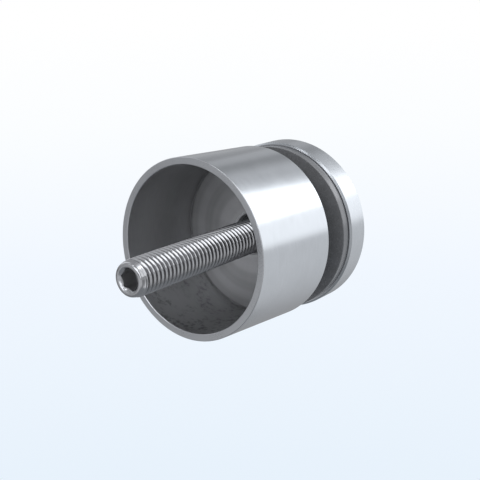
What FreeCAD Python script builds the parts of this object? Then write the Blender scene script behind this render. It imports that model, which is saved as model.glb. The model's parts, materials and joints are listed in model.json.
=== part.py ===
import FreeCAD, Part
import Sketcher
import math
import os

# Glass standoff: a turned steel cup that stands on the wall, a socket stud through the hole
# in its floor, and a cap that screws on the stud and clamps the glass between two gaskets.
# The wall face of the cup lies in the XZ plane at the origin, and the cup's axis is +Y.
# Lengths are millimetres and angles are degrees.

SIZES = {
    # the cup
    "body_diameter": 50.0,
    "cup_length": 30.0,
    "cup_wall": 2.0,
    "cup_floor": 3.0,
    "corner_radius": 0.6,
    "mouth_break": 0.4,
    "mouth_inner_break": 0.25,
    "glass_side_break": 0.35,
    # the thread of the stud and the cap, and the stud's play in the floor hole
    "thread_size": 10.0,
    "crest_trim": 0.05,
    "hole_play": 1.0,
    "hole_break": 0.2,
    # the stud
    "stud_length": 70.0,
    "stud_lead": 2.2,
    "stud_lead_drop": 0.6,
    "stud_far_chamfer": 0.8,
    "thread_grip": 4.0,
    "socket_flats": 5.0,
    "socket_depth": 5.5,
    "socket_entry": 0.2,
    "socket_turn": 47.5,
    "drill_point": 118.0,
    # how the loose stud stands in the floor hole
    "edge_gap": 0.5,
    "shift_turn": -69.0,
    "lean": 3.0,
    "lean_turn": 134.5,
    # the cap
    "cap_thickness": 8.0,
    "cap_face_break": 0.5,
    "cap_back_break": 0.4,
    "bore_end_gap": 0.3,
    # the gaskets and the gap for the glass
    "cup_gasket_inset": 1.0,
    "cup_gasket_thickness": 1.0,
    "cap_gasket_inset": 0.8,
    "cap_gasket_thickness": 2.7,
    "gasket_bore_gap": 0.5,
    "gasket_break": 0.2,
    "gasket_seat_gap": 0.1,
    "glass_gap": 7.0,
}

CHAMFER = "PartDesign::Chamfer"
FILLET = "PartDesign::Fillet"
EDGE_TOLERANCE = 1e-4

doc = FreeCAD.newDocument("glass_standoff")


def make_sheet():
    """Driving sizes, one row each, with the alias that every sketch and feature reads."""
    cells = doc.addObject("Spreadsheet::Sheet", "sheet")
    for row, (alias, value) in enumerate(SIZES.items(), start=1):
        cells.set(f"A{row}", alias.replace("_", " "))
        cells.set(f"B{row}", str(value))
        cells.setAlias(f"B{row}", alias)
    doc.recompute()
    return cells


sheet = make_sheet()

# Expressions that more than one piece reads. The last five are distances along the stud's
# axis from the point where it crosses the middle of the floor hole.
OUTER_RADIUS = "(sheet.body_diameter / 2)"
INNER_RADIUS = "(sheet.body_diameter / 2 - sheet.cup_wall)"
FLOOR_FACE = "(sheet.cup_length - sheet.cup_floor)"
CREST_RADIUS = "(sheet.thread_size / 2 - sheet.crest_trim)"
HOLE_RADIUS = "(sheet.thread_size / 2 + sheet.hole_play)"
CUP_GASKET_SEAT = "(sheet.cup_floor / 2 + sheet.gasket_seat_gap)"
CAP_GASKET_FACE = f"({CUP_GASKET_SEAT} + sheet.cup_gasket_thickness + sheet.glass_gap)"
CAP_GASKET_BACK = f"({CAP_GASKET_FACE} + sheet.cap_gasket_thickness)"
CAP_FACE = f"({CAP_GASKET_BACK} + sheet.gasket_seat_gap)"
STUD_END = f"({CAP_FACE} + sheet.thread_grip - sheet.stud_length)"


def value_of(expression):
    """Number that an expression on the sheet gives now."""
    result = sheet.evalExpression(expression)
    return float(getattr(result, "Value", result))


def new_body(name):
    body = doc.addObject("PartDesign::Body", name)
    body.Label = name
    return body


def new_sketch(body, name, role):
    """Empty sketch on one of the body's own origin planes."""
    plane = next(item for item in body.Origin.OriginFeatures if item.Role == role)
    sketch = body.newObject("Sketcher::SketchObject", name)
    sketch.AttachmentSupport = [(plane, "")]
    sketch.MapMode = "FlatFace"
    return sketch


def bind(sketch, kind, references, expression):
    """Dimension of a sketch that reads the sheet."""
    number = sketch.addConstraint(Sketcher.Constraint(kind, *references, value_of(expression)))
    sketch.setExpression(f"Constraints[{number}]", expression)


def section(body, name, corners):
    """Closed outline beside the body's Y axis, from (radius, distance along the axis) pairs."""
    sketch = new_sketch(body, name, "XY_Plane")
    points = [FreeCAD.Vector(value_of(radius), value_of(distance), 0) for radius, distance in corners]
    following = points[1:] + points[:1]
    for start, end in zip(points, following):
        sketch.addGeometry(Part.LineSegment(start, end), False)
    for index in range(len(points)):
        sketch.addConstraint(Sketcher.Constraint("Coincident", index, 2, (index + 1) % len(points), 1))
    for index, (radius, distance) in enumerate(corners):
        bind(sketch, "DistanceX", (-1, 1, index, 1), radius)
        bind(sketch, "DistanceY", (-1, 1, index, 1), distance)
    return sketch


def turn(body, name, corners):
    """Solid of revolution about the body's own Y axis."""
    feature = body.newObject("PartDesign::Revolution", name)
    feature.Profile = section(body, f"{name}_section", corners)
    feature.ReferenceAxis = (feature.Profile[0], ["V_Axis"])
    feature.Angle = 360
    doc.recompute()
    return feature


def check_cut(body, name, before):
    """A cut that points away from the solid takes nothing off and shows no error."""
    if not body.Shape.Volume < before:
        raise RuntimeError(f"{name} takes nothing off {body.Label}")


def groove(body, name, corners):
    """Cut of revolution about the body's own Y axis."""
    before = body.Shape.Volume
    feature = body.newObject("PartDesign::Groove", name)
    feature.Profile = section(body, f"{name}_section", corners)
    feature.ReferenceAxis = (feature.Profile[0], ["V_Axis"])
    feature.Angle = 360
    doc.recompute()
    check_cut(body, name, before)
    return feature


def pocket(body, name, sketch, depth=None):
    """Cut towards +Y from a sketch on the XZ plane, right through where no depth is given."""
    before = body.Shape.Volume
    feature = body.newObject("PartDesign::Pocket", name)
    feature.Profile = sketch
    if depth is None:
        feature.Type = "ThroughAll"
    else:
        feature.Type = "Length"
        feature.setExpression("Length", depth)
    doc.recompute()
    check_cut(body, name, before)
    return feature


def circle(body, name, diameter):
    """Circle about the body's Y axis on its XZ plane."""
    sketch = new_sketch(body, name, "XZ_Plane")
    normal = FreeCAD.Vector(0, 0, 1)
    sketch.addGeometry(Part.Circle(FreeCAD.Vector(0, 0, 0), normal, value_of(diameter) / 2), False)
    sketch.addConstraint(Sketcher.Constraint("Coincident", 0, 3, -1, 1))
    bind(sketch, "Diameter", (0,), diameter)
    return sketch


def rim_names(feature, radius, distance):
    """Names of the round edges of this radius whose plane lies this far along the Y axis."""
    wanted_radius = value_of(radius)
    wanted_distance = value_of(distance)
    names = []
    for number, edge in enumerate(feature.Shape.Edges, start=1):
        if not isinstance(edge.Curve, Part.Circle):
            continue
        same_radius = abs(edge.Curve.Radius - wanted_radius) < EDGE_TOLERANCE
        same_place = abs(edge.Curve.Center.y - wanted_distance) < EDGE_TOLERANCE
        if same_radius and same_place:
            names.append(f"Edge{number}")
    if not names:
        raise RuntimeError(f"{feature.Name} has no rim of radius {wanted_radius} at {wanted_distance}")
    return names


def dress(body, name, kind, base, rims, amount):
    """Chamfer or fillet on the rims of a feature, given as (radius, distance) pairs."""
    names = [edge for radius, distance in rims for edge in rim_names(base, radius, distance)]
    feature = body.newObject(kind, name)
    feature.Base = (base, names)
    feature.setExpression("Radius" if kind == FILLET else "Size", amount)
    doc.recompute()
    return feature


def place_on_stud_axis(body, distance):
    """Turns the body's Y axis on to the leaning stud's, this far from the floor hole's middle."""
    shift = "(sheet.hole_play + sheet.crest_trim - sheet.edge_gap)"
    shift_turn = "sheet.shift_turn * 1 deg"
    lean = "sheet.lean * 1 deg"
    lean_turn = "sheet.lean_turn * 1 deg"
    middle = "(sheet.cup_length - sheet.cup_floor / 2)"
    across = f"{shift} * cos({shift_turn}) + {distance} * sin({lean}) * cos({lean_turn})"
    along = f"{middle} + {distance} * cos({lean})"
    upwards = f"{shift} * sin({shift_turn}) + {distance} * sin({lean}) * sin({lean_turn})"
    base = f"vector(({across}) * 1 mm; ({along}) * 1 mm; ({upwards}) * 1 mm)"
    turned = f"rotation(vector(sin({lean_turn}); 0; -cos({lean_turn})); sheet.lean)"
    body.setExpression("Placement", f"placement({base}; {turned})")
    doc.recompute()


def make_cup():
    """Turned cup: a thin wall, closed on the glass side by a floor with a clearance hole."""
    body = new_body("cup")
    shell = turn(body, "cup_shell", [
        (OUTER_RADIUS, "0"),
        (OUTER_RADIUS, "sheet.cup_length"),
        ("0", "sheet.cup_length"),
        ("0", FLOOR_FACE),
        (INNER_RADIUS, FLOOR_FACE),
        (INNER_RADIUS, "0"),
    ])
    dress(body, "floor_corner", FILLET, shell, [(INNER_RADIUS, FLOOR_FACE)], "sheet.corner_radius")
    hole = pocket(body, "floor_hole", circle(body, "floor_hole_circle", f"2 * {HOLE_RADIUS}"))
    hole_rims = [(HOLE_RADIUS, FLOOR_FACE), (HOLE_RADIUS, "sheet.cup_length")]
    hole = dress(body, "hole_edges", CHAMFER, hole, hole_rims, "sheet.hole_break")
    mouth = dress(body, "mouth_edge", CHAMFER, hole, [(OUTER_RADIUS, "0")], "sheet.mouth_break")
    inner = [(INNER_RADIUS, "0")]
    mouth = dress(body, "mouth_inner_edge", CHAMFER, mouth, inner, "sheet.mouth_inner_break")
    glass_side = [(OUTER_RADIUS, "sheet.cup_length")]
    dress(body, "glass_side_edge", CHAMFER, mouth, glass_side, "sheet.glass_side_break")
    return body


def make_gasket(name, outer, bore, thickness):
    """Flat ring that starts at its own XZ plane, with its outer corners broken."""
    body = new_body(name)
    ring = turn(body, f"{name}_ring", [
        (bore, "0"),
        (outer, "0"),
        (outer, thickness),
        (bore, thickness),
    ])
    rims = [(outer, "0"), (outer, thickness)]
    dress(body, f"{name}_edges", CHAMFER, ring, rims, "sheet.gasket_break")
    return body


def make_cup_gasket():
    """Thin gasket on the glass side of the cup's floor, centred on the cup."""
    outer = "(sheet.body_diameter / 2 - sheet.cup_gasket_inset)"
    bore = f"({HOLE_RADIUS} + sheet.gasket_bore_gap)"
    body = make_gasket("cup_gasket", outer, bore, "sheet.cup_gasket_thickness")
    seat = "(sheet.cup_length + sheet.gasket_seat_gap) * 1 mm"
    body.setExpression("Placement", f"placement(vector(0 mm; {seat}; 0 mm); rotation(vector(0; 1; 0); 0))")
    doc.recompute()
    return body


def make_cap_gasket():
    """Gasket on the cap's face, a little smaller than the cap, with the stud through its bore."""
    outer = "(sheet.body_diameter / 2 - sheet.cap_gasket_inset)"
    bore = f"({CREST_RADIUS} + sheet.gasket_bore_gap)"
    body = make_gasket("cap_gasket", outer, bore, "sheet.cap_gasket_thickness")
    place_on_stud_axis(body, CAP_GASKET_FACE)
    return body


def make_cap():
    """Turned disc with a blind threaded bore for the stud in the face towards the glass."""
    body = new_body("cap")
    turn(body, "cap_disc", [
        ("0", "0"),
        (OUTER_RADIUS, "0"),
        (OUTER_RADIUS, "sheet.cap_thickness"),
        ("0", "sheet.cap_thickness"),
    ])
    depth = "(sheet.thread_grip + sheet.bore_end_gap) * 1 mm"
    bore = pocket(body, "cap_bore", circle(body, "cap_bore_circle", "sheet.thread_size"), depth)
    face = dress(body, "cap_face_edge", CHAMFER, bore, [(OUTER_RADIUS, "0")], "sheet.cap_face_break")
    back = [(OUTER_RADIUS, "sheet.cap_thickness")]
    dress(body, "cap_back_edge", CHAMFER, face, back, "sheet.cap_back_break")
    place_on_stud_axis(body, CAP_FACE)
    return body


def hexagon(body, name, flats, angle):
    """Regular hexagon across its flats about the body's Y axis, its first corner at this angle."""
    sketch = new_sketch(body, name, "XZ_Plane")
    centre = FreeCAD.Vector(0, 0, 0)
    across_corners = f"({flats} / cos(30 deg))"
    reach = value_of(across_corners) / 2
    turns = [math.radians(value_of(angle) + 60 * index) for index in range(6)]
    corners = [FreeCAD.Vector(reach * math.cos(at), reach * math.sin(at), 0) for at in turns]
    for index in range(6):
        sketch.addGeometry(Part.LineSegment(corners[index], corners[(index + 1) % 6]), False)
    round_corners = sketch.addGeometry(Part.Circle(centre, FreeCAD.Vector(0, 0, 1), reach), True)
    spoke = sketch.addGeometry(Part.LineSegment(centre, corners[0]), True)
    sketch.addConstraint(Sketcher.Constraint("Coincident", round_corners, 3, -1, 1))
    bind(sketch, "Diameter", (round_corners,), across_corners)
    for index in range(6):
        sketch.addConstraint(Sketcher.Constraint("Coincident", index, 2, (index + 1) % 6, 1))
        sketch.addConstraint(Sketcher.Constraint("PointOnObject", index, 1, round_corners))
    for index in range(5):
        sketch.addConstraint(Sketcher.Constraint("Equal", index, index + 1))
    sketch.addConstraint(Sketcher.Constraint("Coincident", spoke, 1, -1, 1))
    sketch.addConstraint(Sketcher.Constraint("Coincident", spoke, 2, 0, 1))
    bind(sketch, "Angle", (-1, 1, spoke, 1), f"{angle} * 1 deg")
    doc.recompute()
    return sketch


def make_stud():
    """Socket stud: its key socket is in the free end, which tapers and points away from the cap."""
    body = new_body("stud")
    rod = turn(body, "stud_rod", [
        ("0", "0"),
        (f"{CREST_RADIUS} - sheet.stud_lead_drop", "0"),
        (CREST_RADIUS, "sheet.stud_lead"),
        (CREST_RADIUS, "sheet.stud_length"),
        ("0", "sheet.stud_length"),
    ])
    far_rim = [(CREST_RADIUS, "sheet.stud_length")]
    dress(body, "stud_far_end", CHAMFER, rod, far_rim, "sheet.stud_far_chamfer")
    six_sides = hexagon(body, "key_hexagon", "sheet.socket_flats", "sheet.socket_turn")
    pocket(body, "key_socket", six_sides, "sheet.socket_depth * 1 mm")
    groove(body, "drill_cone", [
        ("0", "sheet.socket_depth"),
        ("sheet.socket_flats / 2", "sheet.socket_depth"),
        ("0", "sheet.socket_depth + sheet.socket_flats / 2 / tan(sheet.drill_point / 2 * 1 deg)"),
    ])
    groove(body, "socket_entry", [
        ("0", "0"),
        ("sheet.socket_flats / 2 + sheet.socket_entry", "0"),
        ("0", "sheet.socket_flats / 2 + sheet.socket_entry"),
    ])
    place_on_stud_axis(body, STUD_END)
    return body


def check_document():
    """No object of the document may have failed."""
    doc.recompute()
    for item in doc.Objects:
        if "Invalid" in item.State or "Error" in item.State:
            raise RuntimeError(f"{item.Name} failed: {item.State}")


def write_pieces(pieces):
    """One STEP file for each piece, named after it."""
    for piece in pieces:
        if piece.Shape.isNull() or not piece.Shape.isValid():
            raise RuntimeError(f"{piece.Label} has no valid shape")
    os.makedirs("parts", exist_ok=True)
    for piece in pieces:
        piece.Shape.exportStep(f"parts/{piece.Label}.step")
        box = piece.Shape.BoundBox
        print(piece.Label, "volume", round(piece.Shape.Volume, 1), "solids", len(piece.Shape.Solids),
              "Y", round(box.YMin, 3), "to", round(box.YMax, 3))


pieces = [make_cup(), make_cup_gasket(), make_stud(), make_cap_gasket(), make_cap()]
check_document()
write_pieces(pieces)
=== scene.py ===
import bpy
import bmesh
import json
import math
from mathutils import Matrix, Vector, noise


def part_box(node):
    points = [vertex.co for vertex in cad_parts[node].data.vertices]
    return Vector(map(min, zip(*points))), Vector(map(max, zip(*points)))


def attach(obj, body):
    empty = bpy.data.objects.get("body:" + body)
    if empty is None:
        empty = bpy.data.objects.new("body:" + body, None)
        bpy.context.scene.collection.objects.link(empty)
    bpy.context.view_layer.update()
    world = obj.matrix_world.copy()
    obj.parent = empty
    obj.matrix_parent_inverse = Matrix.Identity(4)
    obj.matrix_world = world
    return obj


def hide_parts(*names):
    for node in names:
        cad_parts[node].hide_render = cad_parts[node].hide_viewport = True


# Glass standoff: satin steel cup, threaded socket stud, gaskets and disc cap.
# The scene is in metres, and the pieces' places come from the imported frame. The sizes in the
# dictionaries below are in millimetres, but for those of the floor and the lamps.

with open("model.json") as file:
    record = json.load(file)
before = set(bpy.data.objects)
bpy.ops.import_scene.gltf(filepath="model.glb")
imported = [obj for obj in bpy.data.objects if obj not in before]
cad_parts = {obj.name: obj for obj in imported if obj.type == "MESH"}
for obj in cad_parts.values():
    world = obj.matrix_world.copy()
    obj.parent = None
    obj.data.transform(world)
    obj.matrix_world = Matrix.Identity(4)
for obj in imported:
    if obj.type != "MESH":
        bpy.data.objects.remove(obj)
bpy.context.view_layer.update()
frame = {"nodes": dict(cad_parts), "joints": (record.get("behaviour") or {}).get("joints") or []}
mm = 0.001
print("frame loaded")


# places that the frame gives

joints = {joint["name"]: joint for joint in frame["joints"]}
studAxis = Vector(joints["stud_slide"]["axis"]).normalized()
capFaceCentre = Vector(joints["cap_turn"]["pos_m"])


def alongStud(point):  # distance of a point from the cap's face, along the stud
    return (Vector(point) - capFaceCentre).dot(studAxis)


def nodeSpan(node):  # where a node starts and ends along the stud's axis, from the cap's face
    reach = [alongStud(vertex.co) for vertex in frame["nodes"][node].data.vertices]
    return min(reach), max(reach)


def axisPlace(distance=0.0):  # matrix that carries +Y at the origin on to the stud's axis
    turned = Vector((0, 1, 0)).rotation_difference(studAxis).to_matrix().to_4x4()
    return Matrix.Translation(capFaceCentre + studAxis * distance) @ turned


# shader maths

class Value:  # a socket that adds Math nodes when it is used in an expression
    def __init__(self, graph, socket):
        self.graph = graph
        self.socket = socket

    def maths(self, operation, *others):
        inputs = dict(enumerate(others))
        return self.graph.node("ShaderNodeMath", {"operation": operation}, inputs).out(0)

    def __add__(self, other):
        return self.maths("ADD", self, other)

    def __radd__(self, other):
        return self.maths("ADD", other, self)

    def __sub__(self, other):
        return self.maths("SUBTRACT", self, other)

    def __rsub__(self, other):
        return self.maths("SUBTRACT", other, self)

    def __mul__(self, other):
        return self.maths("MULTIPLY", self, other)

    def __rmul__(self, other):
        return self.maths("MULTIPLY", other, self)

    def __truediv__(self, other):
        return self.maths("DIVIDE", self, other)

    def __rtruediv__(self, other):
        return self.maths("DIVIDE", other, self)


class Node:  # a node, with its outputs within reach
    def __init__(self, graph, made):
        self.graph = graph
        self.made = made

    def out(self, name=0):
        return Value(self.graph, self.made.outputs[name])


class Graph:  # a node tree that is being written
    def __init__(self, tree):
        self.tree = tree
        tree.nodes.clear()

    def node(self, kind, settings=None, inputs=None):
        made = self.tree.nodes.new(kind)
        for name, value in (settings or {}).items():
            if name == "stops":
                self.setStops(made.color_ramp, value)
            else:
                setattr(made, name, value)
        for name, value in (inputs or {}).items():
            socket = made.inputs[name]
            if isinstance(value, Value):
                self.tree.links.new(value.socket, socket)
            else:
                socket.default_value = value
        return Node(self, made)

    def setStops(self, ramp, stops):
        while len(ramp.elements) < len(stops):
            ramp.elements.new(1.0)
        for element, (position, colour) in zip(ramp.elements, stops):
            element.position = position
            element.color = (*colour, 1.0)

    def maths(self, operation, *values):
        return self.node("ShaderNodeMath", {"operation": operation}, dict(enumerate(values))).out(0)

    def step(self, value, start, end, low=0.0, high=1.0):  # smooth step from low to high
        inputs = {"Value": value, "From Min": start, "From Max": end, "To Min": low, "To Max": high}
        return self.node("ShaderNodeMapRange", {"interpolation_type": "SMOOTHSTEP"}, inputs).out(0)

    def mixColour(self, factor, first, second):
        settings = {"data_type": "RGBA"}
        return self.node("ShaderNodeMix", settings, {0: factor, 6: first, 7: second}).out(2)

    def combine(self, x, y, z):
        return self.node("ShaderNodeCombineXYZ", {}, {0: x, 1: y, 2: z}).out(0)

    def split(self, vector):
        parts = self.node("ShaderNodeSeparateXYZ", {}, {0: vector})
        return parts.out(0), parts.out(1), parts.out(2)

    def noise(self, vector, scale, detail=2.0, roughness=0.5):
        inputs = {"Vector": vector, "Scale": scale, "Detail": detail, "Roughness": roughness}
        return self.node("ShaderNodeTexNoise", {}, inputs).out("Fac")


def newMaterial(name):
    material = bpy.data.materials.new(name)
    material.use_nodes = True
    return material, Graph(material.node_tree)


def turnedPlace(graph, place):
    # a turned piece's own coordinates in millimetres: across, along its axis, and its radius
    where = graph.node("ShaderNodeTexCoord").out("Object")
    scaled = Matrix.Scale(1 / mm, 4) @ place.inverted()
    inputs = {
        "Vector": where, "Location": scaled.to_translation(),
        "Rotation": scaled.to_euler(), "Scale": [1 / mm] * 3}
    local = graph.node("ShaderNodeMapping", {"vector_type": "POINT"}, inputs).out(0)
    x, y, z = graph.split(local)
    radius = graph.maths("SQRT", x * x + z * z)
    return local, x, y, z, radius


def drawnNoise(graph, x, along, z, lines, detail, roughness):
    # noise drawn out round a piece's axis. Its lines are given by their pace round the axis, their pace
    # along it, and their scale
    slow, quick, scale = lines
    return graph.noise(graph.combine(x * slow, along * quick, z * slow), scale, detail, roughness)


def finishSurface(graph, sockets, height, strength, depth):  # depth: the bumps', in millimetres
    bumps = {"Height": height, "Strength": strength, "Distance": depth * mm}
    normal = graph.node("ShaderNodeBump", {}, bumps).out(0)
    shader = graph.node("ShaderNodeBsdfPrincipled", {}, {**sockets, "Normal": normal}).out(0)
    graph.node("ShaderNodeOutputMaterial", {}, {"Surface": shader})


# finishes

satinFinish = {
    "colour": (0.568, 0.594, 0.617),
    "shade": (0.432, 0.452, 0.472),
    "roughness": 0.17,
    "spread": 0.10,              # how far the roughness wanders
    "lines": (0.10, 1.0, 16.0),  # the brushing: its pace round the axis and across, and its scale
    "lineDepth": 0.007,
    "streaks": (0.04, 1.0, 5.6),  # broader streaks, by the same three
    "clouds": 0.16,              # clouds of tone in a millimetre, about
    "cloudShare": 0.4,           # their share of the tone, and the streaks have the rest
}

capSideFinish = {**satinFinish, "roughness": 0.25}


def satinSteel(name, place, finish=satinFinish):
    # lathe-brushed steel: fine lines run round the axis, and the polish varies a little
    material, graph = newMaterial(name)
    local, x, y, z, radius = turnedPlace(graph, place)
    across = y + radius
    streaks = drawnNoise(graph, x, across, z, finish["streaks"], detail=3.0, roughness=0.6)
    fine = drawnNoise(graph, x, across, z, finish["lines"], detail=2.0, roughness=0.7)
    cloud = graph.noise(local, finish["clouds"], detail=3.0, roughness=0.55)
    tone = streaks * (1 - finish["cloudShare"]) + cloud * finish["cloudShare"]
    colour = graph.mixColour(tone, (*finish["shade"], 1), (*finish["colour"], 1))
    rough = finish["roughness"] + (streaks - 0.5) * finish["spread"] + (cloud - 0.5) * finish["spread"]
    sockets = {"Base Color": colour, "Metallic": 1.0, "Roughness": rough}
    finishSurface(graph, sockets, fine, strength=0.5, depth=finish["lineDepth"])
    return material


turnedFinish = {
    "light": (0.560, 0.572, 0.590),
    "dark": (0.500, 0.511, 0.528),
    "roughness": 0.30,
    "ringPitch": 0.16,           # millimetres between the tool's rings
    "ringDepth": 0.0015,
}

turnedGrain = {
    # what all the turned faces share
    "bands": 0.55,               # bands of tone in a millimetre, from the axis outwards
    "fan": 2.6,                  # how often the tone changes round the axis
    "fanTwist": 0.02,
    "toneEdge": (0.34, 0.64),
    "grain": (0.2, 2.0, 9.0),    # as the brushing's lines above
    "grainRough": 0.18,          # how far the grain and the fan move the roughness
    "fanRough": 0.16,
}

dullShadedCorner = {"colour": (0.33, 0.332, 0.338), "share": 0.7}  # painted shade, and a duller finish, where the cup's wall meets its floor

floorFinish = {
    "light": (0.80, 0.806, 0.820),
    "dark": (0.20, 0.2015, 0.205),
    "roughness": 0.55,
    "ringPitch": 0.22,
    "ringDepth": 0.0020,
    "corner": (22.25, 22.6),     # the floor grows dull, and darker with painted shade, between these radii
    "cornerRough": 0.6,
    "base": 0.50,
    "wander": 0.12,              # how far the tone wanders
    "fan": 225.0,                # painted sheen: the floor is lightest towards this angle
    "sheenShare": 0.05,
    # the passes of the tool: between two radii the tone changes by the third value
    "passes": [(10.8, 12.8, -0.16), (16.2, 18.0, 0.18), (19.4, 21.0, -0.14)],
}

capBackFinish = {
    "light": (0.62, 0.632, 0.652),
    "dark": (0.38, 0.388, 0.402),
    "roughness": 0.24,
    "ringPitch": 0.16,
    "ringDepth": 0.0015,
    "base": 0.42,
    "wander": 0.16,
    # painted sheen: the back is lightest towards this angle
    "fan": 40.0,
    "sheenShare": 0.10,
    "passes": [(1.5, 2.2, 0.10), (7.5, 8.6, -0.08), (15.5, 17.0, 0.10), (22.0, 23.0, -0.10)],
}


def turnedSteel(name, place, finish=turnedFinish):
    # faces as the lathe left them: rings about the axis, with slow changes of tone outwards and round, a
    # painted sheen that lightens one side where the finish gives one, and painted shade in a corner
    material, graph = newMaterial(name)
    local, x, y, z, radius = turnedPlace(graph, place)
    across = y + radius
    angle = graph.maths("ARCTAN2", z, x)
    bands = graph.noise(graph.combine(across * turnedGrain["bands"], 0.0, 0.0), 1.0)
    cosine, sine = graph.maths("COSINE", angle), graph.maths("SINE", angle)
    twisted = graph.combine(cosine, sine, across * turnedGrain["fanTwist"])
    fan = graph.noise(twisted, turnedGrain["fan"], detail=3.0, roughness=0.6)
    rings = graph.maths("SINE", across * (2 * math.pi / finish["ringPitch"]))
    grain = drawnNoise(graph, x, across, z, turnedGrain["grain"], detail=3.0, roughness=0.7)
    tone = graph.step(bands * 0.5 + fan * 0.5, *turnedGrain["toneEdge"])
    if "passes" in finish:
        # painted sheen: the face is made lighter towards one angle round the axis
        side = graph.maths("COSINE", angle - math.radians(finish["fan"]))
        tone = tone * finish["wander"] + finish["base"] + side * finish["sheenShare"]
        for start, end, change in finish["passes"]:
            tone = tone + graph.step(radius, start, end, 0.0, change)
    colour = graph.mixColour(tone, (*finish["dark"], 1), (*finish["light"], 1))
    rough = finish["roughness"] + (grain - 0.5) * turnedGrain["grainRough"]
    rough = rough + (fan - 0.5) * turnedGrain["fanRough"]
    # painted shade in the corner where the floor meets the wall, which is also made rougher
    if "corner" in finish:
        dullAndShaded = graph.step(radius, *finish["corner"], 0.0, dullShadedCorner["share"])
        colour = graph.mixColour(dullAndShaded, colour, (*dullShadedCorner["colour"], 1))
        rough = rough + dullAndShaded * finish["cornerRough"]
    height = rings * 0.5 + grain
    sockets = {"Base Color": colour, "Metallic": 1.0, "Roughness": rough}
    finishSurface(graph, sockets, height, strength=0.6, depth=finish["ringDepth"])
    return material


rawFinish = {
    "light": (0.615, 0.619, 0.627),
    "dark": (0.195, 0.196, 0.201),
    "roughness": 0.46,
    "depth": 0.003,
    "blotches": 0.85,            # blotches in a millimetre, about
    "blotchEdge": (0.47, 0.62),
    "spots": 2.04,               # spots in a millimetre, about
    "spotEdge": (0.60, 0.68),
    "spotShare": 0.8,            # how dark a spot is, by a blotch
    "regions": 0.187,            # regions with more and with fewer of both
    "blotchRegion": (0.40, 0.58),
    "spotRegion": (0.46, 0.56),
    "stain": 0.48,               # how dark the stains are
    "stainSpan": (-3.0, -12.0),  # they grow between these two heights
    "stainRough": 0.12,
    "lowRightDarkening": 0.42,                # how much darker the low part of the wall grows from left to right
    "lowRightDarkeningSpan": (-16.0, 0.0),
    "upper": 0.82,               # painted shade: how light the wall is at the top, by the middle
    "topShadeSpan": (16.0, -2.0),
    "deep": 0.45,                # painted shade: how light it is near the floor, by the mouth
    "floorShadeSpan": (4.0, 20.0),
    "lines": (0.12, 1.6, 2.2),   # drawing lines, as the brushing's lines above
    "drawn": 0.22,               # how far they move the tone, and the roughness
    "drawnRough": 0.10,
    "corner": (26.4, 26.65),     # the wall grows dull, and darker with painted shade, between these depths
    "cornerRough": 0.5,
}


def rawSteel(name, place, finish=rawFinish):
    # the cup's inner wall: dull drawn steel, stained and spotted below and darker from left to right there,
    # with painted shade that darkens it at the top, towards the floor and in the corner
    material, graph = newMaterial(name)
    local, x, y, z, radius = turnedPlace(graph, place)
    blotch = graph.noise(local, finish["blotches"], detail=4.0, roughness=0.62)
    spot = graph.noise(local, finish["spots"])
    region = graph.noise(local, finish["regions"])
    drawn = drawnNoise(graph, x, y, z, finish["lines"], detail=3.0, roughness=0.6)
    low = graph.step(z, *finish["stainSpan"])
    stain = graph.step(blotch, *finish["blotchEdge"]) * graph.step(region, *finish["blotchRegion"])
    spotted = graph.step(spot, *finish["spotEdge"]) * graph.step(region, *finish["spotRegion"])
    stain = graph.maths("MAXIMUM", stain, spotted * finish["spotShare"])
    # darker from left to right in the low part of the wall
    lowRightDarkening = graph.step(x, *finish["lowRightDarkeningSpan"], 0.0, finish["lowRightDarkening"])
    # painted shade: darker at the top of the wall, and deeper in towards the floor
    stainedAndShaded = graph.step(z, *finish["topShadeSpan"], finish["upper"], 1.0)
    stainedAndShaded = stainedAndShaded * graph.step(y, *finish["floorShadeSpan"], 1.0, finish["deep"])
    stainedAndShaded = stainedAndShaded * (1.0 - low * (stain * finish["stain"] + lowRightDarkening)) - (drawn - 0.5) * finish["drawn"]
    colour = graph.mixColour(stainedAndShaded, (*finish["dark"], 1), (*finish["light"], 1))
    # painted shade in the corner where the wall meets the floor, which is also made rougher
    dullAndShaded = graph.step(y, *finish["corner"], 0.0, dullShadedCorner["share"])
    colour = graph.mixColour(dullAndShaded, colour, (*dullShadedCorner["colour"], 1))
    rough = finish["roughness"] + low * stain * finish["stainRough"] + (drawn - 0.5) * finish["drawnRough"]
    rough = rough + dullAndShaded * finish["cornerRough"]
    sockets = {"Base Color": colour, "Metallic": 1.0, "Roughness": rough}
    finishSurface(graph, sockets, blotch * 0.5 + drawn, strength=0.5, depth=finish["depth"])
    return material


boreFinish = {
    "light": (0.80, 0.805, 0.815),
    # the colour of the painted shade farther in
    "dark": (0.34, 0.343, 0.350),
    "metal": 0.2,
    "roughness": 0.70,
    "shadeDepths": (28.4, 30.0),     # painted shade: the bore darkens between these depths
    "marks": (0.3, 6.0, 2.0),    # drilling marks, as the brushing's lines above
    "markShare": 0.3,            # how far they move the tone, and the roughness
    "markRough": 0.2,
    "markDepth": 0.010,
}


def boreSteel(name, place, finish=boreFinish):
    # the drilled hole in the floor: dull and pale at its mouth, darkened farther in with painted shade, with
    # drilling marks
    material, graph = newMaterial(name)
    local, x, y, z, radius = turnedPlace(graph, place)
    marks = drawnNoise(graph, x, y, z, finish["marks"], detail=3.0, roughness=0.6)
    # painted shade: the bore darkens farther in, and the drilling marks move the tone
    tone = graph.step(y, *finish["shadeDepths"]) + (marks - 0.5) * finish["markShare"]
    colour = graph.mixColour(tone, (*finish["light"], 1), (*finish["dark"], 1))
    rough = finish["roughness"] + (marks - 0.5) * finish["markRough"]
    sockets = {"Base Color": colour, "Metallic": finish["metal"], "Roughness": rough}
    finishSurface(graph, sockets, marks, strength=0.4, depth=finish["markDepth"])
    return material


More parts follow.
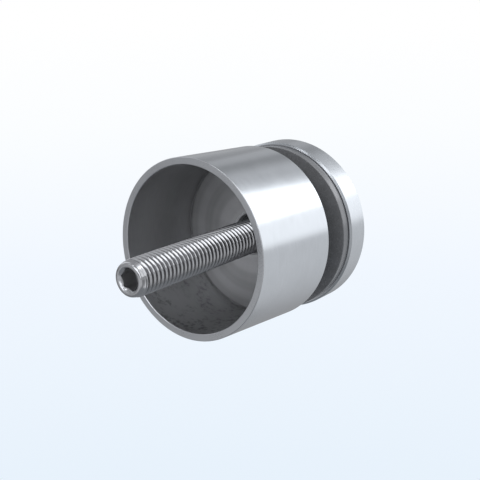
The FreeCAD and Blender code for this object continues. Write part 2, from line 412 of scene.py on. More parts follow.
threadFinish = {
    "crest": (0.57, 0.575, 0.588),
    # the roots' colour is painted shade, far darker than the steel
    "root": (0.13, 0.131, 0.136),
    "roughness": 0.10,
    "flank": (4.25, 4.83),       # painted shade: the flanks grow bright between these radii, out of the dark roots
    "bare": (2.8, 2.0),          # nearer the end than this the painted shade is left out, and all is as bright as the crests
    "marks": 1.6,                # rolling marks in a millimetre, about
    "markShare": 0.2,            # how far they move the tone, and the roughness
    "markRough": 0.08,
    "markDepth": 0.0015,
    "rootRough": 0.10,           # how much rougher the roots are
}


def threadSteel(name, place, finish=threadFinish):
    # rolled thread: bright crests over roots darkened with painted shade and a little rougher, with small
    # rolling marks
    material, graph = newMaterial(name)
    local, x, y, z, radius = turnedPlace(graph, place)
    # painted shade: dark roots, growing bright up the flanks
    high = graph.step(radius, *finish["flank"])
    high = graph.maths("MAXIMUM", high, graph.step(y, *finish["bare"]))
    mark = graph.noise(local, finish["marks"], detail=3.0, roughness=0.6)
    tone = high * (1 - finish["markShare"]) + mark * finish["markShare"]
    colour = graph.mixColour(tone, (*finish["root"], 1), (*finish["crest"], 1))
    rough = finish["roughness"] + (1.0 - high) * finish["rootRough"] + (mark - 0.5) * finish["markRough"]
    sockets = {"Base Color": colour, "Metallic": 1.0, "Roughness": rough}
    finishSurface(graph, sockets, mark, strength=0.3, depth=finish["markDepth"])
    return material


endFinish = {
    "light": (0.57, 0.577, 0.592),
    "dark": (0.44, 0.446, 0.458),
    # the colour of the painted shade deep in the socket
    "deep": (0.42, 0.424, 0.428),
    "roughness": 0.20,
    "depth": 0.006,
    "ringPitch": 0.21,
    "ringShare": 0.25,
    "scratches": 2.2,            # scratches in a millimetre, about
    "scratchPace": (0.5, 0.3, 2.0),  # how fast they change along each axis
    "clouds": 0.9,
    "cloudShare": 0.6,
    "cloudRough": 0.2,
    "toneEdge": (0.34, 0.62),
    "shadeDepths": (0.43, 0.80),     # painted shade: the socket darkens between these depths
    "deepRough": 0.25,
}


def endSteel(name, place, finish=endFinish):
    # the stud's turned end and its broached socket: tool rings, and scratches that run across the end
    # and down the socket, which painted shade darkens deeper in
    material, graph = newMaterial(name)
    local, x, y, z, radius = turnedPlace(graph, place)
    rings = graph.maths("SINE", (radius + y) * (2 * math.pi / finish["ringPitch"]))
    paceX, paceY, paceZ = finish["scratchPace"]
    paced = graph.combine(x * paceX, y * paceY, z * paceZ)
    drawn = graph.noise(paced, finish["scratches"], detail=3.0, roughness=0.7)
    cloud = graph.noise(local, finish["clouds"], detail=3.0, roughness=0.6)
    blend = drawn * (1 - finish["cloudShare"]) + cloud * finish["cloudShare"]
    tone = graph.step(blend, *finish["toneEdge"])
    colour = graph.mixColour(tone, (*finish["dark"], 1), (*finish["light"], 1))
    # painted shade deeper in the socket, which is also made rougher
    deepShade = graph.step(y, *finish["shadeDepths"])
    colour = graph.mixColour(deepShade, colour, (*finish["deep"], 1))
    rough = finish["roughness"] + (cloud - 0.5) * finish["cloudRough"] + deepShade * finish["deepRough"]
    sockets = {"Base Color": colour, "Metallic": 1.0, "Roughness": rough}
    finishSurface(graph, sockets, rings * finish["ringShare"] + drawn, strength=0.25, depth=finish["depth"])
    return material


rubberFinish = {
    "face": (0.138, 0.140, 0.144),
    "edge": (0.130, 0.133, 0.139),
    "bloom": (0.158, 0.161, 0.167),
    "roughness": 0.26,
    "shine": 0.80,
    "depth": 0.010,
    "blooms": 0.35,              # patches of bloom in a millimetre, about
    "bloomEdge": (0.35, 0.7),
    "scuffs": (0.3, 1.5, 2.4),   # scuffs, as the brushing's lines above
    "scuffEdge": (0.25, 0.45),
    "scuffRough": 0.3,
    "wornFrom": 0.35,            # the edge is worn from this far inside its rim
    "wornFull": 0.02,
    "wornLeast": 0.6,            # how worn it is between the scuffs
    "edgePolish": 0.09,          # how much smoother the worn edge is
}


def rubber(name, place, rim, finish=rubberFinish):
    # moulded rubber: faint bloom on the faces, and an edge that wear has polished
    material, graph = newMaterial(name)
    local, x, y, z, radius = turnedPlace(graph, place)
    bloom = graph.noise(local, finish["blooms"], detail=4.0, roughness=0.6)
    scuff = drawnNoise(graph, x, y, z, finish["scuffs"], detail=3.0, roughness=0.65)
    patches = graph.step(bloom, *finish["bloomEdge"])
    face = graph.mixColour(patches, (*finish["face"], 1), (*finish["bloom"], 1))
    worn = graph.step(radius, rim - finish["wornFrom"], rim - finish["wornFull"])
    worn = worn * graph.step(scuff, *finish["scuffEdge"], finish["wornLeast"], 1.0)
    colour = graph.mixColour(worn, face, (*finish["edge"], 1))
    rough = finish["roughness"] + (scuff - 0.5) * finish["scuffRough"] - worn * finish["edgePolish"]
    shine = finish["shine"]
    sockets = {"Base Color": colour, "Metallic": 0.0, "Roughness": rough, "Specular IOR Level": shine}
    finishSurface(graph, sockets, scuff + bloom, strength=0.5, depth=finish["depth"])
    return material


# turned shapes

def rounded(corners, support=0.05, steps=4):
    # an outline with its corners softened: each corner is (radius, along, softening, finish), and its
    # finish is that of the stretch that follows it. Beyond the softening, a point keeps the face flat
    outline = []
    count = len(corners)
    for index, (radius, along, soft, finish) in enumerate(corners):
        here = Vector((radius, along))
        if not soft:
            outline.append((here, finish))
            continue
        before = Vector(corners[index - 1][:2])
        after = Vector(corners[(index + 1) % count][:2])
        inward = (before - here).normalized()
        onward = (after - here).normalized()
        half = inward.angle(onward) / 2
        reach = soft / math.tan(half)
        start, end = here + inward * reach, here + onward * reach
        middle = here + (inward + onward).normalized() * (soft / math.sin(half))
        previous = corners[index - 1][3]
        outline.append((start + inward * min(support, soft), previous))
        fan = (start - middle).angle_signed(end - middle)
        for step in range(steps + 1):
            spoke = start - middle
            spoke.rotate(Matrix.Rotation(-fan * step / steps, 2))
            outline.append((middle + spoke, previous if step < steps / 2 else finish))
        outline.append((end + onward * min(support, soft), finish))
    return outline


def lathe(name, outline, place, closed, around=256):
    # spins an outline of ((radius, along), finish) points, in millimetres, about +Y, and puts it in place
    mesh = bpy.data.meshes.new(name)
    shape = bmesh.new()
    rings = []
    for point, finish in outline:
        radius, along = point
        if radius < 1e-6:
            rings.append([shape.verts.new((0, along * mm, 0))])
            continue
        ring = []
        for step in range(around):
            angle = 2 * math.pi * step / around
            spot = Vector((radius * math.cos(angle), along, radius * math.sin(angle)))
            ring.append(shape.verts.new(spot * mm))
        rings.append(ring)
    pairs = list(zip(range(len(rings)), range(1, len(rings))))
    if closed:
        pairs.append((len(rings) - 1, 0))
    for first, second in pairs:
        for step in range(around):
            following = (step + 1) % around
            corners = []
            for ring, spot in ((first, step), (first, following), (second, following), (second, step)):
                vertex = rings[ring][spot % len(rings[ring])]
                if vertex not in corners:
                    corners.append(vertex)
            face = shape.faces.new(corners)
            face.material_index = outline[first][1]
            face.smooth = True
    bmesh.ops.recalc_face_normals(shape, faces=shape.faces)
    shape.transform(place)
    shape.to_mesh(mesh)
    shape.free()
    piece = bpy.data.objects.new(name, mesh)
    bpy.context.scene.collection.objects.link(piece)
    sharpen(piece)
    return piece


def sharpen(piece, limit=40.0):  # edges steeper than this stay crisp
    shape = bmesh.new()
    shape.from_mesh(piece.data)
    for edge in shape.edges:
        edge.smooth = len(edge.link_faces) == 2 and edge.calc_face_angle(0.0) < math.radians(limit)
    shape.to_mesh(piece.data)
    shape.free()


def dress(piece, materials, body, node):
    for material in materials:
        piece.data.materials.append(material)
    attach(piece, body)
    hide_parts(node)


# the cup

cupSize = {
    "radius": 25.0,
    "inner": 23.0,
    "length": 30.0,
    "floor": 27.0,
    "corner": 0.6,
    "hole": 5.8,
    "mouthBreak": 0.15,
    "mouthInnerBreak": 0.18,
    "glassSideBreak": 0.35,
    "holeBreak": 0.2,
    "holeLip": 0.55,      # the broken edge inside the cup: its width, and its depth
    "holeLipDepth": 0.38,
    "soft": 0.07,
}


def makeCup(size):
    satin, turned, raw, base, bore = 0, 1, 2, 3, 4
    outer, inner, soft = size["radius"], size["inner"], size["soft"]
    corner, hole, edge = size["corner"], size["hole"], size["holeBreak"]
    corners = [
        (outer - size["mouthBreak"], 0, soft, turned),
        (outer, size["mouthBreak"], soft, satin),
        (outer, size["length"] - size["glassSideBreak"], soft, turned),
        (outer - size["glassSideBreak"], size["length"], soft, turned),
        (hole + edge, size["length"], soft, turned),
        (hole, size["length"] - edge, soft, bore),
        (hole, size["floor"] + size["holeLipDepth"], soft, bore),
        (hole + size["holeLip"], size["floor"], soft, base),
        (inner, size["floor"], corner, raw),
        (inner, size["mouthInnerBreak"], soft, turned),
        (inner + size["mouthInnerBreak"], 0, soft, turned),
    ]
    place = Matrix.Identity(4)
    piece = lathe("standoff_cup", rounded(corners), place, closed=True)
    materials = [
        satinSteel("cupSatin", place),
        turnedSteel("cupTurned", place),
        rawSteel("cupInside", place),
        turnedSteel("cupFloor", place, floorFinish),
        boreSteel("cupBore", place),
    ]
    dress(piece, materials, "cup", "cup")


makeCup(cupSize)
print("cup made")


# the gaskets

gasketSize = {
    "cupRadius": 24.0,
    "cupBore": 6.5,
    "capRadius": 24.2,
    "capBore": 5.45,
    "soft": 0.2,
    "around": 192,
}


def makeGasket(name, body, node, radius, bore, span, place):
    soft, start, end = gasketSize["soft"], span[0] / mm, span[1] / mm
    corners = [
        (bore, start, soft / 2, 0),
        (radius, start, soft, 0),
        (radius, end, soft, 0),
        (bore, end, soft / 2, 0),
    ]
    piece = lathe(name, rounded(corners), place, closed=True, around=gasketSize["around"])
    dress(piece, [rubber(name + "Rubber", place, radius)], body, node)


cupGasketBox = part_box("cup_gasket")
makeGasket("wall_side_gasket", "cup", "cup_gasket", gasketSize["cupRadius"], gasketSize["cupBore"],
           (cupGasketBox[0].y, cupGasketBox[1].y), Matrix.Identity(4))
makeGasket("glass_side_gasket", "cap_gasket", "cap_gasket", gasketSize["capRadius"], gasketSize["capBore"],
           nodeSpan("cap_gasket"), axisPlace())
print("gaskets made")


# the cap

capSize = {
    "radius": 25.0,
    "thickness": 8.0,
    "faceBreak": 0.5,
    "backBreak": 0.4,
    "bore": 5.0,
    "boreDepth": 4.3,
    "soft": 0.07,
}


def makeCap(size):
    satin, turned, back = 0, 1, 2
    outer, soft, thick = size["radius"], size["soft"], size["thickness"]
    corners = [
        (0, size["boreDepth"], 0, turned),
        (size["bore"], size["boreDepth"], 0, turned),
        (size["bore"], 0, 0, turned),
        (outer - size["faceBreak"], 0, soft, satin),
        (outer, size["faceBreak"], soft, satin),
        (outer, thick - size["backBreak"], soft, turned),
        (outer - size["backBreak"], thick, soft, back),
        (outer * 0.5, thick, 0, back),  # these two split the long faces up
        (outer * 0.1, thick, 0, back),
        (0, thick, 0, back),
    ]
    place = axisPlace()
    piece = lathe("standoff_cap", rounded(corners), place, closed=False)
    materials = [
        satinSteel("capSatin", place, capSideFinish),
        turnedSteel("capTurned", place),
        turnedSteel("capBack", place, capBackFinish),
    ]
    dress(piece, materials, "cap", "cap")


makeCap(capSize)
print("cap made")


# the stud: a helical thread by Geometry Nodes, and an end with its key socket

studSize = {
    "length": 70.0,
    "crest": 4.95,
    "root": 4.15,
    "pitch": 1.5,
    "crestShare": 0.14,   # how far the crest's flat reaches from its middle, in half pitches
    "rootShare": 0.82,    # where the flank ends, in the same measure
    "flankStraight": 0.75,  # how straight the flank is, and the rest is rounded
    "lead": 2.2,          # the tapered end
    "leadDrop": 0.6,
    "leadBlend": 0.25,    # how softly the thread runs out on the lead
    "endRound": 0.6,
    "threadStart": 0.5,   # where the groove begins, from the free end
    "threadFull": 2.8,
    "farChamfer": 0.8,
    "socket": 5.0,        # across its flats
    "socketDepth": 5.5,
    "socketTurn": 47.5,
    "blunt": 1.115,       # how far its worn corners reach, by the distance of its flats
    "countersink": 3.35,
    "sinkStep": 0.04,     # the small step at its edge
    "sinkSlope": 0.9,     # how much it deepens for each millimetre inwards
    "faceLoops": (0.06, 0.12, 0.08),  # loops inside the end's edge, and outside and inside the countersink's
    "hexFlare": 0.03,     # how much wider the hexagon's torn edge is, and how deep it ends
    "hexEdge": 0.10,
    "hexLoops": (1.2, 3.0),  # loops farther down the hexagon's wall
    "drillInset": 0.05,
    "drillTip": 0.25,
    "drillPoint": 118.0,
    "ragged": 0.08,       # how uneven the broached edge is
    "tears": (1.9, 4.3),  # coarse and fine tears in it
    "tearRadius": 2.6,
    "fineTears": 0.6,     # how deep the fine ones are, by the coarse
    "around": 80,
    "rows": 20,           # rows of faces in one turn of the thread
    "phase": 0.5,         # where the thread stands, in turns
}


def threadTree(name):
    # a grid that winds round the axis, so that its rows run along the helix
    tree = bpy.data.node_groups.new(name, "GeometryNodeTree")
    tree.is_modifier = True
    graph = Graph(tree)
    ways = tree.interface
    ways.new_socket("Geometry", in_out="OUTPUT", socket_type="NodeSocketGeometry")
    measures = ("Crest radius", "Root radius", "Pitch", "Length", "Lead", "Lead drop", "End round",
                "Thread start", "Thread full", "Far chamfer", "Phase", "Crest share", "Root share",
                "Flank straight", "Lead blend")
    kinds = [(label, "Float") for label in measures]
    kinds += [("Around", "Int"), ("Rows", "Int"), ("Material", "Material")]
    for label, kind in kinds:
        ways.new_socket(label, in_out="INPUT", socket_type="NodeSocket" + kind)
    given = graph.node("NodeGroupInput")
    crest, root, pitch = given.out("Crest radius"), given.out("Root radius"), given.out("Pitch")
    length, around, rows = given.out("Length"), given.out("Around"), given.out("Rows")
    # one turn more than the length holds, because the helix starts and ends aslant
    turns = graph.maths("CEIL", length / pitch) + 1.0
    grid = graph.node("GeometryNodeMeshGrid", {}, {
        "Size X": 1.0, "Size Y": 1.0, "Vertices X": around + 1.0, "Vertices Y": turns * rows + 1.0})
    across, along = graph.split(graph.node("GeometryNodeInputPosition").out(0))[:2]
    share = across + 0.5
    turn = (along + 0.5) * turns
    away = (turn - 1.0 + share) * pitch
    capped = graph.maths("MINIMUM", graph.maths("MAXIMUM", away, 0.0), length)
    # ten whole turns are added, so that no phase can be negative
    phase = graph.maths("FRACT", turn + given.out("Phase") + 10.0)
    spread = graph.maths("ABSOLUTE", phase * 2.0 - 1.0)
    straight = graph.node("ShaderNodeMapRange", {}, {
        "Value": spread, "From Min": given.out("Crest share"), "From Max": given.out("Root share"),
        "To Min": 1.0, "To Max": 0.0}).out(0)
    soft = graph.step(straight, 0.0, 1.0)
    height = straight * given.out("Flank straight") + soft * (1.0 - given.out("Flank straight"))
    cut = graph.step(capped, given.out("Thread start"), given.out("Thread full"))
    threaded = crest - (crest - root) * (1.0 - height) * cut
    bend = given.out("End round")
    left = graph.maths("MAXIMUM", bend - capped, 0.0)
    rounding = bend - graph.maths("SQRT", bend * bend - left * left)
    lead = crest - given.out("Lead drop") * (1.0 - capped / given.out("Lead")) - rounding
    farEnd = crest - graph.maths("MAXIMUM", capped - (length - given.out("Far chamfer")), 0.0)
    blended = graph.maths("SMOOTH_MIN", threaded, lead, given.out("Lead blend"))
    radius = graph.maths("MINIMUM", blended, farEnd)
    angle = share * (2 * math.pi)
    # right-handed about +Y: from +Z towards +X
    sine, cosine = graph.maths("SINE", angle), graph.maths("COSINE", angle)
    place = graph.combine(radius * sine, capped, radius * cosine)
    wound = graph.node("GeometryNodeSetPosition", {}, {"Geometry": grid.out("Mesh"), "Position": place})
    joined = graph.node("GeometryNodeMergeByDistance", {}, {"Geometry": wound.out(0), "Distance": 1e-5})
    smooth = graph.node("GeometryNodeSetShadeSmooth", {}, {"Geometry": joined.out(0)})
    real = graph.node("GeometryNodeRealizeInstances", {}, {"Geometry": smooth.out(0)})
    finished = graph.node("GeometryNodeSetMaterial", {}, {
        "Geometry": real.out(0), "Material": given.out("Material")})
    graph.node("NodeGroupOutput", {}, {0: finished.out(0)})
    return tree


def windThread(name, size, material):
    holder = bpy.data.objects.new(name, bpy.data.meshes.new(name))
    bpy.context.scene.collection.objects.link(holder)
    modifier = holder.modifiers.new("thread", "NODES")
    modifier.node_group = threadTree(name + "Tree")
    values = {
        "Crest radius": size["crest"] * mm,
        "Root radius": size["root"] * mm,
        "Pitch": size["pitch"] * mm,
        "Length": size["length"] * mm,
        "Lead": size["lead"] * mm,
        "Lead drop": size["leadDrop"] * mm,
        "End round": size["endRound"] * mm,
        "Thread start": size["threadStart"] * mm,
        "Thread full": size["threadFull"] * mm,
        "Far chamfer": size["farChamfer"] * mm,
        "Phase": size["phase"],
        "Crest share": size["crestShare"],
        "Root share": size["rootShare"],
        "Flank straight": size["flankStraight"],
        "Lead blend": size["leadBlend"] * mm,
        "Around": size["around"],
        "Rows": size["rows"],
        "Material": material,
    }
    for item in modifier.node_group.interface.items_tree:
        if item.in_out == "INPUT":
            modifier[item.identifier] = values[item.name]
    seen = holder.evaluated_get(bpy.context.evaluated_depsgraph_get())
    mesh = bpy.data.meshes.new_from_object(seen)
    holder.modifiers.clear()
    bpy.data.objects.remove(holder)
    return mesh


def hexReach(angle, flats, corner, blunt):  # distance from the centre to a blunt-cornered hexagon's side
    part = (angle - corner) % (math.pi / 3) - math.pi / 6
    return min(flats / 2 / math.cos(part), flats / 2 * blunt)


def makeStud(size):
    place = axisPlace(nodeSpan("stud")[0])
    material = threadSteel("studSteel", place)
    shape = bmesh.new()
    shape.from_mesh(windThread("thread", size, material))
    for face in shape.faces:
        face.material_index = 0  # the grid has an empty slot of its own before the thread's
    around, socket = size["around"], size["socket"]
    corner = math.radians(size["socketTurn"])
    mouth = size["crest"] - size["leadDrop"] - size["endRound"]
    cone = socket / 2 / math.tan(math.radians(size["drillPoint"]) / 2)
    bowl = size["countersink"]

    def ring(reach, depth, conical=0.0):  # conical: depth gained for each millimetre nearer the axis
        made = []
        for step in range(around):
            angle = 2 * math.pi * step / around
            x, z = math.sin(angle), math.cos(angle)
            # angles run from +X towards +Z, as in the solid's socket
            radius = reach(math.atan2(z, x))
            level = depth + (bowl - radius) * conical
            made.append(shape.verts.new((radius * x * mm, level * mm, radius * z * mm)))
        return made

    def ragged(angle, level):  # small torn steps along the broached edge
        spot = Vector((math.cos(angle) * size["tearRadius"], math.sin(angle) * size["tearRadius"], level))
        coarse, fine = [noise.noise(spot * scale) for scale in size["tears"]]
        return coarse * size["ragged"] + fine * size["ragged"] * size["fineTears"]

    def hexagon(grow, level):  # level: where the tears are read
        return lambda angle: hexReach(angle, socket, corner, size["blunt"]) + grow + ragged(angle, level)

    def circle(radius):
        return lambda angle: radius

    ledge, slope, deep = size["sinkStep"], size["sinkSlope"], size["socketDepth"]
    faceLoop, outerLoop, innerLoop = size["faceLoops"]
    upperLoop, lowerLoop = size["hexLoops"]
    tip = size["drillTip"]
    levels = [
        # each ring's reach, its depth, and the depth it gains for each millimetre inwards
        (circle(mouth), 0.0, 0.0),
        (circle(mouth - faceLoop), 0.0, 0.0),
        (circle(bowl + outerLoop), 0.0, 0.0),
        (circle(bowl), ledge, 0.0),
        (circle(bowl - innerLoop), ledge, slope),
        (hexagon(size["hexFlare"], 0.0), ledge, slope),
        (hexagon(0.0, 0.1), size["hexEdge"], slope),
        (hexagon(0.0, 0.5), upperLoop, 0.0),
        (hexagon(0.0, 0.9), lowerLoop, 0.0),
        (hexagon(0.0, 1.2), deep, 0.0),
        (circle(socket / 2 - size["drillInset"]), deep, 0.0),
        (circle(tip), deep + cone * (1 - tip / (socket / 2)), 0.0),
    ]
    rings = [ring(*level) for level in levels]
    for first, second in zip(rings, rings[1:]):
        for step in range(around):
            following = (step + 1) % around
            face = shape.faces.new((first[step], first[following], second[following], second[step]))
            face.smooth = True
            face.material_index = 1
    drillEnd = shape.faces.new(rings[-1])
    drillEnd.smooth = True
    drillEnd.material_index = 1
    # the far end is flat
    far = ring(circle(size["crest"] - size["farChamfer"]), size["length"])
    shape.faces.new(far)
    bmesh.ops.remove_doubles(shape, verts=shape.verts, dist=2e-6)
    bmesh.ops.dissolve_degenerate(shape, dist=1e-7, edges=shape.edges)
    bmesh.ops.recalc_face_normals(shape, faces=shape.faces)
    shape.transform(place)
    mesh = bpy.data.meshes.new("standoff_stud")
    shape.to_mesh(mesh)
    shape.free()
    piece = bpy.data.objects.new("standoff_stud", mesh)
    bpy.context.scene.collection.objects.link(piece)
    sharpen(piece, limit=50.0)
    dress(piece, [material, endSteel("studEnd", place)], "stud", "stud")


makeStud(studSize)
print("stud made")


# floor, backdrop, light and camera

backdropTones = {
    "top": (1.0, 1.0, 1.0),
    "upper": (0.965, 0.985, 1.0),
    "lower": (0.875, 0.930, 1.0),
    "bottom": (0.800, 0.885, 0.970),
}
backdropLow = -0.46  # the sine of the height at which the bottom tone is reached


def backdropColour(graph, height):  # pale sweep by the sine of the height: white above, faintly blue below
    stops = [(0.0, backdropTones["bottom"]), (0.45, backdropTones["lower"]),
             (0.78, backdropTones["upper"]), (1.0, backdropTones["top"])]
    inputs = {"Value": height, "From Min": backdropLow, "From Max": 0.0}
    level = graph.node("ShaderNodeMapRange", {}, inputs).out(0)
    return graph.node("ShaderNodeValToRGB", {"stops": stops}, {"Fac": level}).out("Color")


studioTint = (0.985, 1.0, 1.035)  # the studio's light is a little blue
studioCards = [
    # what the polished steel sees above the horizon: level, the bearings between which it lies, the
    # softness of those two edges, and the heights between which it lies, all in degrees
    {"level": 0.15, "from": -33, "to": -25, "fromSoft": 2, "toSoft": 6, "low": 0, "high": 90},
    {"level": 0.10, "from": -60, "to": -37, "fromSoft": 5, "toSoft": 6, "low": 6, "high": 16},
    {"level": 0.31, "from": -13, "to": 60, "fromSoft": 15, "toSoft": 20, "low": 17, "high": 74},
    {"level": 0.26, "from": 6, "to": 60, "fromSoft": 12, "toSoft": 16, "low": 0, "high": 74},
    {"level": 1.80, "from": 15.5, "to": 62, "fromSoft": 9, "toSoft": 12, "low": 18, "high": 68},
    {"level": 0.95, "from": 14, "to": 60, "fromSoft": 8, "toSoft": 14, "low": -4, "high": 18},
    {"level": 0.75, "from": 68, "to": 96, "fromSoft": 10, "toSoft": 10, "low": 14, "high": 62},
    {"level": 0.75, "from": -98, "to": -66, "fromSoft": 10, "toSoft": 10, "low": 14, "high": 62},
]
frontBoxes = [
    # the boxes in front: level, the bearing of the middle, the reach to either side of it, the heights
    # between which it lies, and the softness of all its edges
    {"level": 2.15, "middle": 171, "reach": 17, "low": 19, "high": 46, "soft": 4.5},
    {"level": 0.70, "middle": 212, "reach": 16, "low": 26, "high": 48, "soft": 8},
    {"level": 4.6, "middle": 195, "reach": 7, "low": 58, "high": 64.5, "soft": 2},
    {"level": 0.75, "middle": 148, "reach": 18, "low": 30, "high": 60, "soft": 5},
    {"level": 2.6, "middle": 142, "reach": 7, "low": 43, "high": 58, "soft": 4},
    {"level": 1.8, "middle": 141, "reach": 9, "low": 4, "high": 34, "soft": 4},
]
cardSoft = {"low": 1.5, "high": 5}  # how soft a card's lower and upper edges are
# low in front, between the boxes and the table, this share of the light is missing
frontDim = {"share": 0.42, "middle": 163, "reach": 20, "sideSoft": 14, "high": 15, "soft": 9}
skyTone = {"behind": 0.43, "front": 0.46, "turn": (75, 110)}
tableTone = {"plain": 0.25, "right": 0.72, "front": 0.40}
tableEdge = {
    # where the table grows light, each from dark to light: bearings on the right, the reach to either
    # side of the middle in front, and heights there. The last is where the table ends
    "rightFar": (-60, 60),
    "rightNear": (78, 45),
    "frontMiddle": 165,
    "frontReach": (78, 40),
    "frontHeight": (-52, -24),
    "horizon": (-4, -2),
}


def studioShape(graph, x, y, z):
    # soft boxes to the right and in front overhead, grey cards behind and to both sides, and a pale table.
    # Bearings are degrees clockwise from +Y seen from above, and heights are degrees.
    bearing = graph.maths("ARCTAN2", x, y) * (180 / math.pi)
    height = graph.maths("ARCSINE", z) * (180 / math.pi)
    turned = graph.maths("ABSOLUTE", bearing)
    above = graph.step(turned, *skyTone["turn"], skyTone["behind"], skyTone["front"])
    for card in studioCards:
        first, last = card["from"], card["to"]
        wide = graph.step(bearing, first - card["fromSoft"] / 2, first + card["fromSoft"] / 2)
        wide = wide * graph.step(bearing, last + card["toSoft"] / 2, last - card["toSoft"] / 2)
        tall = graph.step(height, card["low"] - cardSoft["low"], card["low"] + cardSoft["low"])
        tall = tall * graph.step(height, card["high"] + cardSoft["high"], card["high"] - cardSoft["high"])
        above = above + wide * tall * card["level"]
    full = graph.maths("FLOORED_MODULO", bearing, 360.0)
    aside = graph.maths("ABSOLUTE", full - frontDim["middle"])
    dim = graph.step(aside, frontDim["reach"] + frontDim["sideSoft"], frontDim["reach"])
    dim = dim * graph.step(height, frontDim["high"] + frontDim["soft"], frontDim["high"])
    above = above * (1.0 - dim * frontDim["share"])
    for box in frontBoxes:
        aside = graph.maths("ABSOLUTE", full - box["middle"])
        lit = graph.step(aside, box["reach"] + box["soft"], box["reach"])
        lit = lit * graph.step(height, box["low"] - box["soft"], box["low"])
        lit = lit * graph.step(height, box["high"] + box["soft"], box["high"])
        above = graph.maths("MAXIMUM", above, lit * box["level"])
    right = graph.step(bearing, *tableEdge["rightFar"]) * graph.step(bearing, *tableEdge["rightNear"])
    aside = graph.maths("ABSOLUTE", full - tableEdge["frontMiddle"])
    front = graph.step(aside, *tableEdge["frontReach"]) * graph.step(height, *tableEdge["frontHeight"])
    table = tableTone["plain"] + right * tableTone["right"] + front * tableTone["front"]
    horizon = graph.step(height, *tableEdge["horizon"])
    return table * (1.0 - horizon) + above * horizon


plainLight = {"colour": (0.92, 0.95, 1.0), "strength": 0.75}  # what lights the dull surfaces


def makeWorld():
    world = bpy.data.worlds.new("studio")
    world.use_nodes = True
    bpy.context.scene.world = world
    graph = Graph(world.node_tree)
    x, y, z = graph.split(graph.node("ShaderNodeTexCoord").out("Generated"))
    path = graph.node("ShaderNodeLightPath")
    camera = path.out("Is Camera Ray")
    seen = camera + path.out("Is Glossy Ray") + path.out("Is Transmission Ray")
    shape = studioShape(graph, x, y, z)
    # the camera sees the bare backdrop, and the metal sees the studio's boxes, cards and table
    strength = camera + (1.0 - camera) * shape
    colour = graph.mixColour(camera, (*studioTint, 1), backdropColour(graph, z))
    sweep = graph.node("ShaderNodeBackground", {}, {"Color": colour, "Strength": strength}).out(0)
    inputs = {"Color": (*plainLight["colour"], 1), "Strength": plainLight["strength"]}
    plain = graph.node("ShaderNodeBackground", {}, inputs).out(0)
    mixed = graph.node("ShaderNodeMixShader", {}, {0: seen, 1: plain, 2: sweep}).out(0)
    graph.node("ShaderNodeOutputWorld", {}, {"Surface": mixed})


floorSize = {
    "radius": 0.24,
    "drop": 0.2,
    "ahead": 0.015,       # how far its centre lies towards the glass
    "segments": 96,
    "fade": (0.7, 0.97),  # it fades out between these shares of its radius
}

floorTone = {
    # how strongly the floor glows, how much the camera sees on top of that, and the floor's colours:
    # in the metal, for the camera, and for all else
    "glow": 0.08,
    "cameraGlow": 0.47,
    "mirrored": (0.20, 0.205, 0.21),
    "seen": (0.42, 0.44, 0.46),
    "plain": (0.85, 0.88, 0.92),
}


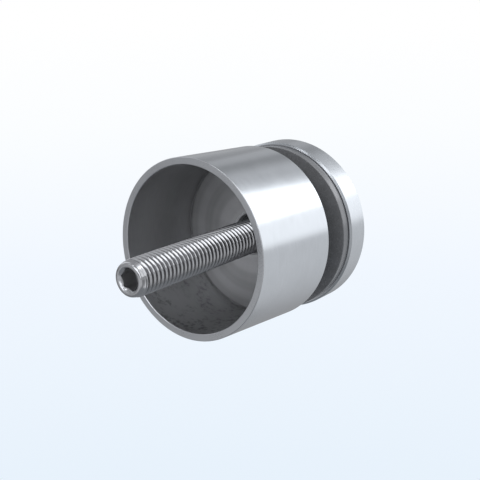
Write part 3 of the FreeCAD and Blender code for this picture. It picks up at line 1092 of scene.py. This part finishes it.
def makeFloor(size, tones):
    shape = bmesh.new()
    bmesh.ops.create_circle(shape, cap_ends=True, radius=size["radius"], segments=size["segments"])
    mesh = bpy.data.meshes.new("floor")
    shape.to_mesh(mesh)
    shape.free()
    mesh.transform(Matrix.Translation((0, size["ahead"], -size["drop"])))
    floor = bpy.data.objects.new("floor", mesh)
    bpy.context.scene.collection.objects.link(floor)
    material, graph = newMaterial("paleFloor")
    path = graph.node("ShaderNodeLightPath")
    camera = path.out("Is Camera Ray")
    seen = camera + path.out("Is Glossy Ray") + path.out("Is Transmission Ray")
    x, y = graph.split(graph.node("ShaderNodeTexCoord").out("Object"))[:2]
    away = graph.maths("SQRT", x * x + y * y)
    edge = graph.step(away, *[size["radius"] * share for share in size["fade"]])
    # the metal sees the floor as dimly as the table beyond it
    glow = {"Color": (*backdropTones["lower"], 1), "Strength": tones["glow"] + camera * tones["cameraGlow"]}
    pale = graph.node("ShaderNodeEmission", {}, glow).out(0)
    grey = graph.mixColour(camera, (*tones["mirrored"], 1), (*tones["seen"], 1))
    matt = graph.node("ShaderNodeBsdfDiffuse", {}, {"Color": grey}).out(0)
    lit = graph.node("ShaderNodeAddShader", {}, {0: pale, 1: matt}).out(0)
    plain = graph.node("ShaderNodeBsdfDiffuse", {}, {"Color": (*tones["plain"], 1)}).out(0)
    both = graph.node("ShaderNodeMixShader", {}, {0: seen, 1: plain, 2: lit}).out(0)
    clear = graph.node("ShaderNodeBsdfTransparent").out(0)
    faded = graph.node("ShaderNodeMixShader", {}, {0: edge, 1: both, 2: clear}).out(0)
    graph.node("ShaderNodeOutputMaterial", {}, {"Surface": faded})
    mesh.materials.append(material)


lampAim = (0, 0.012, 0)
lampDistance = 0.6
lampSettings = [
    {"name": "rightBox", "bearing": 38, "height": 40, "width": 0.5, "tall": 0.35, "power": 1.2},
    {"name": "frontBox", "bearing": 180, "height": 48, "width": 0.5, "tall": 0.4, "power": 1.5},
]


def addLamp(name, bearing, height, width, tall, power):
    side, rise = math.radians(bearing), math.radians(height)
    way = Vector((math.sin(side) * math.cos(rise), math.cos(side) * math.cos(rise), math.sin(rise)))
    light = bpy.data.lights.new(name, "AREA")
    light.shape = "RECTANGLE"
    light.size, light.size_y = width, tall
    light.energy = power
    lamp = bpy.data.objects.new(name, light)
    lamp.location = Vector(lampAim) + way * lampDistance
    lamp.rotation_mode = "QUATERNION"
    lamp.rotation_quaternion = way.to_track_quat("Z", "Y")
    lamp.visible_glossy = False  # the metal mirrors the world's boxes alone
    bpy.context.scene.collection.objects.link(lamp)


cameraView = {
    "place": (160.92, -181.04, 58.12),
    "left": 38.4,         # degrees from +Y towards -X
    "down": 12.87,        # degrees
    "lens": 69.98,
    "clip": (0.01, 20.0),  # metres
}


def makeCamera(view):
    data = bpy.data.cameras.new("camera")
    data.lens = view["lens"]
    data.clip_start, data.clip_end = view["clip"]
    camera = bpy.data.objects.new("camera", data)
    left, down = math.radians(view["left"]), math.radians(view["down"])
    ahead = Vector((-math.sin(left) * math.cos(down), math.cos(left) * math.cos(down), -math.sin(down)))
    camera.location = Vector(view["place"]) * mm
    camera.rotation_mode = "QUATERNION"
    camera.rotation_quaternion = ahead.to_track_quat("-Z", "Y")
    bpy.context.scene.collection.objects.link(camera)
    bpy.context.scene.camera = camera


makeWorld()
makeFloor(floorSize, floorTone)
for lampSetting in lampSettings:
    addLamp(**lampSetting)
makeCamera(cameraView)
bpy.context.scene.view_settings.view_transform = "Standard"
print("studio made")
